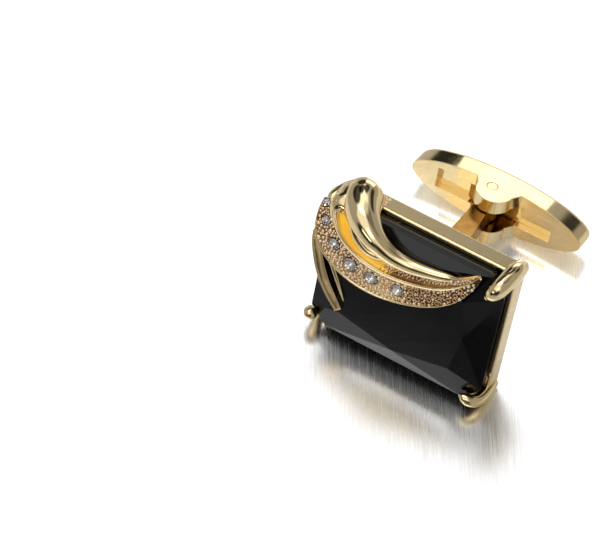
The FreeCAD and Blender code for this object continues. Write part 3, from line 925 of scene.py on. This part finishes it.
def pit_rings(name, places, material):
    """Thin rings that leave a dark pit in their middle, where the floor's painted shade shows."""
    points = []
    faces = []
    for centre, outward, radius in places:
        side, other = across_pair(outward)
        first = len(points)
        wire = radius * WIRE_SHARE
        for k in range(PIT_SIDES):
            away = spoke(side, other, 2 * math.pi * k / PIT_SIDES)
            for ring in range(WIRE_SIDES):
                turn = 2 * math.pi * ring / WIRE_SIDES
                reach = away * (radius - wire + wire * math.cos(turn))
                rise = outward * (wire * math.sin(turn) + wire / 2)
                points.append(placed(*(centre + reach + rise)))
        for k in range(PIT_SIDES):
            here = first + k * WIRE_SIDES
            there = first + (k + 1) % PIT_SIDES * WIRE_SIDES
            for ring in range(WIRE_SIDES):
                up = (ring + 1) % WIRE_SIDES
                faces.append((here + ring, there + ring, there + up, here + up))
    return mesh_object(name, points, faces, [material])


taken = [(seat, radius * SEAT_SHARE) for seat, radius in gem_seats]
ring_places = scattered(
    seed=3,
    tries=3000,
    shares=(0.66, 0.93),
    acrosses=(RIM + RING_INSET, BAND - RING_INSET),
    radii=(0.25, 0.29),
    taken=taken,
)
bead_places = scattered(
    seed=7,
    tries=9000,
    shares=(0.0, 0.97),
    acrosses=(RIM + BEAD_INSET, BAND - FILL_INSET),
    radii=(0.11, 0.23),
    taken=taken,
)
bead_places += scattered(
    seed=5,
    tries=3000,
    shares=(0.0, 0.97),
    acrosses=(RIM + FILL_INSET, BAND - FILL_INSET),
    radii=(0.08, 0.10),
    taken=taken,
)
bead_places += scattered(
    seed=9,
    tries=6000,
    shares=(GRAIN_START - GRAIN_LEAD, 0.98),
    acrosses=(GROOVE, 0.98),
    radii=(0.09, 0.16),
    taken=[],
)
grain_places = scattered(
    seed=9,
    tries=3000,
    shares=(0.26, GRAIN_START - GRAIN_LEAD),
    acrosses=(GROOVE, 0.97),
    radii=(0.06, 0.11),
    taken=[],
)
bead_places += rail_patch()
add_to_head(pit_rings("pave_rings", ring_places, ring_gold))
add_to_head(grains("pave_beads", bead_places, bead_highlight_gold))
add_to_head(grains("groove_grains", grain_places, matt, sides=8, rings=3))


# Leaf

# Its middle line in shares of half the head's length and height, and along it the half widths as
# shares of a usual one and the places out from the head's back as shares of the stone's height.
LEAF_LINE = [(-1.085, 0.46), (-1.01, 0.04), (-0.63, -0.47)]
LEAF_WIDTHS = [0.30, 0.85, 1.0, 1.05, 1.08, 1.0, 0.75]
LEAF_BASES = [0.82, 0.84, 0.88, 0.94, 0.99, 1.0, 1.0]
LEAF_HALF = 0.52
LEAF_RISE = 0.4
LEAF_SINK = 0.8
LEAF_TIP = 0.9
LEAF_SPANS = 60
EDGE, VALLEY = range(2)
# Half of its section: shares of its half width and of its rise, and the material. The first point
# has a depth in millimetres instead.
LEAF_SECTION = [
    (-1.0, -LEAF_SINK, EDGE),
    (-1.0, 0.6, EDGE),
    (-0.97, 0.85, EDGE),
    (-0.86, 1.0, EDGE),
    (-0.74, 0.93, EDGE),
    (-0.66, 0.7, VALLEY),
    (-0.62, 0.53, VALLEY),
    (-0.3, 0.45, VALLEY),
    (-0.06, 0.39, VALLEY),
]


def along_list(values, share):
    """A value between those of a list, a share of the way along it."""
    place = share * (len(values) - 1)
    k = min(int(place), len(values) - 2)
    return values[k] + (values[k + 1] - values[k]) * (place - k)


def leaf_middles():
    """Points along the leaf's middle line, in the head's frame."""
    middles = []
    for k in range(LEAF_SPANS + 1):
        share = k / LEAF_SPANS
        weights = ((1 - share) ** 2, 2 * share * (1 - share), share**2)
        along = sum(weight * place[0] for weight, place in zip(weights, LEAF_LINE))
        up = sum(weight * place[1] for weight, place in zip(weights, LEAF_LINE))
        middles.append(from_shares(along, up, along_list(LEAF_BASES, share)))
    return middles


def leaf_height(height, slot, closing):
    """A height of the section in millimetres; towards the tip the valley closes."""
    if height <= 0:
        return height
    return height * LEAF_RISE + (1 - height) * LEAF_RISE * closing * slot


def leaf():
    """A folded leaf: two rounded edges and a valley along its middle."""
    mirrored = [(-share, height, slot) for share, height, slot in reversed(LEAF_SECTION)]
    profile = LEAF_SECTION + mirrored
    middles = leaf_middles()
    points = []
    for k, (middle, head) in enumerate(zip(middles, headings(middles))):
        half = LEAF_HALF * along_list(LEAF_WIDTHS, k / LEAF_SPANS)
        side = head.cross(Vector((0, 0, 1))).normalized() * half
        closing = max(0.0, (k / LEAF_SPANS - LEAF_TIP) / (1 - LEAF_TIP)) ** 2
        for share, height, slot in profile:
            rise = Vector((0, 0, leaf_height(height, slot, closing)))
            points.append(placed(*(middle + side * share + rise)))
    here = [slot for share, height, slot in profile]
    after = here[1:] + here[:1]
    ring_slots = [VALLEY if pair == (VALLEY, VALLEY) else EDGE for pair in zip(here, after)]
    slots = ring_slots * LEAF_SPANS + [EDGE, EDGE]
    faces = ring_faces(LEAF_SPANS + 1, len(profile)) + end_faces(LEAF_SPANS + 1, len(profile))
    # The valley takes the browner gold, a painted shade.
    return mesh_object("leaf_smooth", points, faces, [polished, valley_shade], slots)


add_to_head(leaf(), "leaf")


# Floor: a white, brushed board, in metres
FLOOR_HALF = 0.6
FLOOR_TONE = (0.93, 0.93, 0.93, 1.0)
FLOOR_LIFT = 0.15
FLOOR_DULL = 0.15
BRUSH_TURN = math.radians(33.0)
BRUSH_SIZE = (0.00012, 0.012, 1.0)
BRUSH_DETAIL = 2.0
BRUSH_ROUGH = (0.19, 0.29)
# An oval in front of the head where the floor has no glow: a painted shadow.
SHADE_PLACE = (0.0, -0.020, 0.0)
SHADE_SPREAD = (0.030, 0.019, 1.0)
SHADE_CORE = 0.6


def floor_coords(tree, size, place=(0.0, 0.0, 0.0), turn=0.0):
    """The floor's own coordinates, measured from a place in lengths of a given size."""
    coords = tree.nodes.new("ShaderNodeTexCoord")
    mapping = tree.nodes.new("ShaderNodeMapping")
    mapping.vector_type = "TEXTURE"
    mapping.inputs["Location"].default_value = place
    mapping.inputs["Rotation"].default_value = (0.0, 0.0, turn)
    mapping.inputs["Scale"].default_value = size
    tree.links.new(coords.outputs["Object"], mapping.inputs["Vector"])
    return mapping.outputs["Vector"]


def brush_marks(tree):
    """Fine streaks in one direction."""
    streaks = tree.nodes.new("ShaderNodeTexNoise")
    streaks.inputs["Scale"].default_value = 1.0
    streaks.inputs["Detail"].default_value = BRUSH_DETAIL
    vector = floor_coords(tree, BRUSH_SIZE, turn=BRUSH_TURN)
    tree.links.new(vector, streaks.inputs["Vector"])
    return streaks.outputs["Fac"]


def seen_share(tree):
    """One where the floor is seen, directly, in metal or through glass, and zero where it lights."""
    light_path = tree.nodes.new("ShaderNodeLightPath")
    seen = light_path.outputs["Is Camera Ray"]
    for kind in ("Is Glossy Ray", "Is Transmission Ray"):
        seen = maths(tree, "ADD", seen, light_path.outputs[kind])
    return seen


def away_share(tree):
    """Zero on the floor in front of the head, where it mirrors the stone and its glow is left out as a
    painted shadow, and one away from it.
    """
    distance = tree.nodes.new("ShaderNodeVectorMath")
    distance.operation = "LENGTH"
    tree.links.new(floor_coords(tree, SHADE_SPREAD, SHADE_PLACE), distance.inputs[0])
    return ranged(tree, distance.outputs["Value"], SHADE_CORE, 1.0, 0.0, 1.0, "SMOOTHSTEP")


def white_floor():
    """Bright to the eye, with the object's shadow, a painted shadow where its glow stops in front of
    the head, and a blurred reflection.
    """
    material, tree, shader = new_material("white_floor")
    shader.inputs["Base Color"].default_value = FLOOR_TONE
    shader.inputs["IOR"].default_value = 1.5
    tree.links.new(mapped(tree, brush_marks(tree), *BRUSH_ROUGH), shader.inputs["Roughness"])
    away = away_share(tree)
    metal = maths(tree, "MULTIPLY_ADD", away, -FLOOR_DULL, 1.0)
    tree.links.new(metal, shader.inputs["Metallic"])
    # The glow stops in front of the head, which paints a shadow there.
    lift = maths(tree, "MULTIPLY", maths(tree, "MULTIPLY", seen_share(tree), away), FLOOR_LIFT)
    shader.inputs["Emission Color"].default_value = (1.0, 1.0, 1.0, 1.0)
    tree.links.new(lift, shader.inputs["Emission Strength"])
    return material


def floor():
    """A square board under the cufflink."""
    corners = [(-1, -1), (1, -1), (1, 1), (-1, 1)]
    points = [(x * FLOOR_HALF, y * FLOOR_HALF, 0) for x, y in corners]
    return mesh_object("floor", points, [(0, 1, 2, 3)], [white_floor()])


floor()

# Light: a pale tent and softboxes
WORLD_LEVEL = 0.36
# Bright and dark parts of the tent: direction, where each starts and is full as the cosine of the
# angle from that direction, and how many times as bright as the tent it is.
STUDIO_PARTS = [
    ((-0.34, 0.46, 0.82), 0.81, 0.93, 4.0),
    ((-0.34, -0.90, 0.28), 0.90, 0.965, 0.08),
    ((0.34, -0.90, 0.28), 0.90, 0.965, 0.10),
    ((-0.25, -0.30, 0.92), 0.84, 0.93, 2.8),
    ((0.22, -0.64, 0.73), 0.93, 0.97, 2.4),
    ((0.30, 0.86, 0.42), 0.980, 0.995, 0.10),
    ((-0.55, 0.80, 0.25), 0.958, 0.982, 0.07),
    ((-0.70, 0.38, 0.60), 0.93, 0.965, 0.05),
    ((-0.45, 0.63, 0.63), 0.974, 0.988, 0.05),
    ((-0.15, 0.80, 0.58), 0.975, 0.990, 0.05),
    ((0.18, 0.38, 0.91), 0.91, 0.96, 0.5),
]
# Softboxes: name, place, target and size in metres, power in watts, and whether metal mirrors it.
SOFTBOXES = [
    ("key", (-0.05, 0.20, 0.25), (0.0, 0.0, 0.0), (0.20, 0.14), 2.0, False),
    ("fill", (-0.10, -0.16, 0.20), (0.0, 0.0, 0.005), (0.20, 0.20), 0.4, False),
    ("front", (-0.031, -0.100, 0.060), (0.0, -0.006, 0.013), (0.036, 0.018), 0.005, True),
    ("card", (-0.018, 0.08, 0.028), (0.0, 0.008, 0.005), (0.046, 0.026), 0.006, True),
]


def studio_part(tree, coords, towards, edge, core, tone):
    """A number that goes from one to a given tone as a direction turns towards a given one."""
    dot = tree.nodes.new("ShaderNodeVectorMath")
    dot.operation = "DOT_PRODUCT"
    tree.links.new(coords.outputs["Generated"], dot.inputs[0])
    dot.inputs[1].default_value = Vector(towards).normalized()
    return ranged(tree, dot.outputs["Value"], edge, core, 1.0, tone, "SMOOTHSTEP")


def studio_world():
    """A pale tent, bright above and behind, with a dark front and some dark openings."""
    world = bpy.data.worlds.new("studio")
    bpy.context.scene.world = world
    world.use_nodes = True
    tree = world.node_tree
    coords = tree.nodes.new("ShaderNodeTexCoord")
    level = WORLD_LEVEL
    for part in STUDIO_PARTS:
        level = maths(tree, "MULTIPLY", level, studio_part(tree, coords, *part))
    background = tree.nodes["Background"]
    background.inputs["Color"].default_value = (1.0, 1.0, 1.0, 1.0)
    tree.links.new(level, background.inputs["Strength"])


def softbox(name, place, target, size, power, mirrored):
    """A rectangular lamp that faces a target."""
    lamp = bpy.data.lights.new(name, "AREA")
    lamp.shape = "RECTANGLE"
    lamp.size, lamp.size_y = size
    lamp.energy = power
    box = bpy.data.objects.new(name, lamp)
    box.location = place
    box.rotation_euler = (Vector(target) - Vector(place)).to_track_quat("-Z", "Y").to_euler()
    box.visible_glossy = mirrored
    bpy.context.scene.collection.objects.link(box)


studio_world()
for values in SOFTBOXES:
    softbox(*values)

# Camera: its place and directions in the head's frame, fitted to the photograph
CAMERA_PLACE = (71.10, 176.70, 190.45)
CAMERA_FORWARD = (-0.30065, -0.66028, -0.68822)
CAMERA_UP = (-0.43768, 0.73665, -0.51554)
CAMERA_LENS = 180.0
CAMERA_SENSOR = 36.0
CAMERA_NEAR = 0.01


def photo_camera():
    """A long lens that looks at the cufflink as the photograph does."""
    data = bpy.data.cameras.new("camera")
    data.lens = CAMERA_LENS
    data.sensor_width = CAMERA_SENSOR
    data.clip_start = CAMERA_NEAR
    camera = bpy.data.objects.new("camera", data)
    bpy.context.scene.collection.objects.link(camera)
    forward = turned(*CAMERA_FORWARD).normalized()
    right = forward.cross(turned(*CAMERA_UP).normalized()).normalized()
    above = right.cross(forward)
    turn = Matrix((right, above, -forward)).transposed().to_4x4()
    camera.matrix_world = Matrix.Translation(placed(*CAMERA_PLACE)) @ turn
    return camera


bpy.context.scene.camera = photo_camera()
bpy.context.scene.view_settings.view_transform = "Standard"
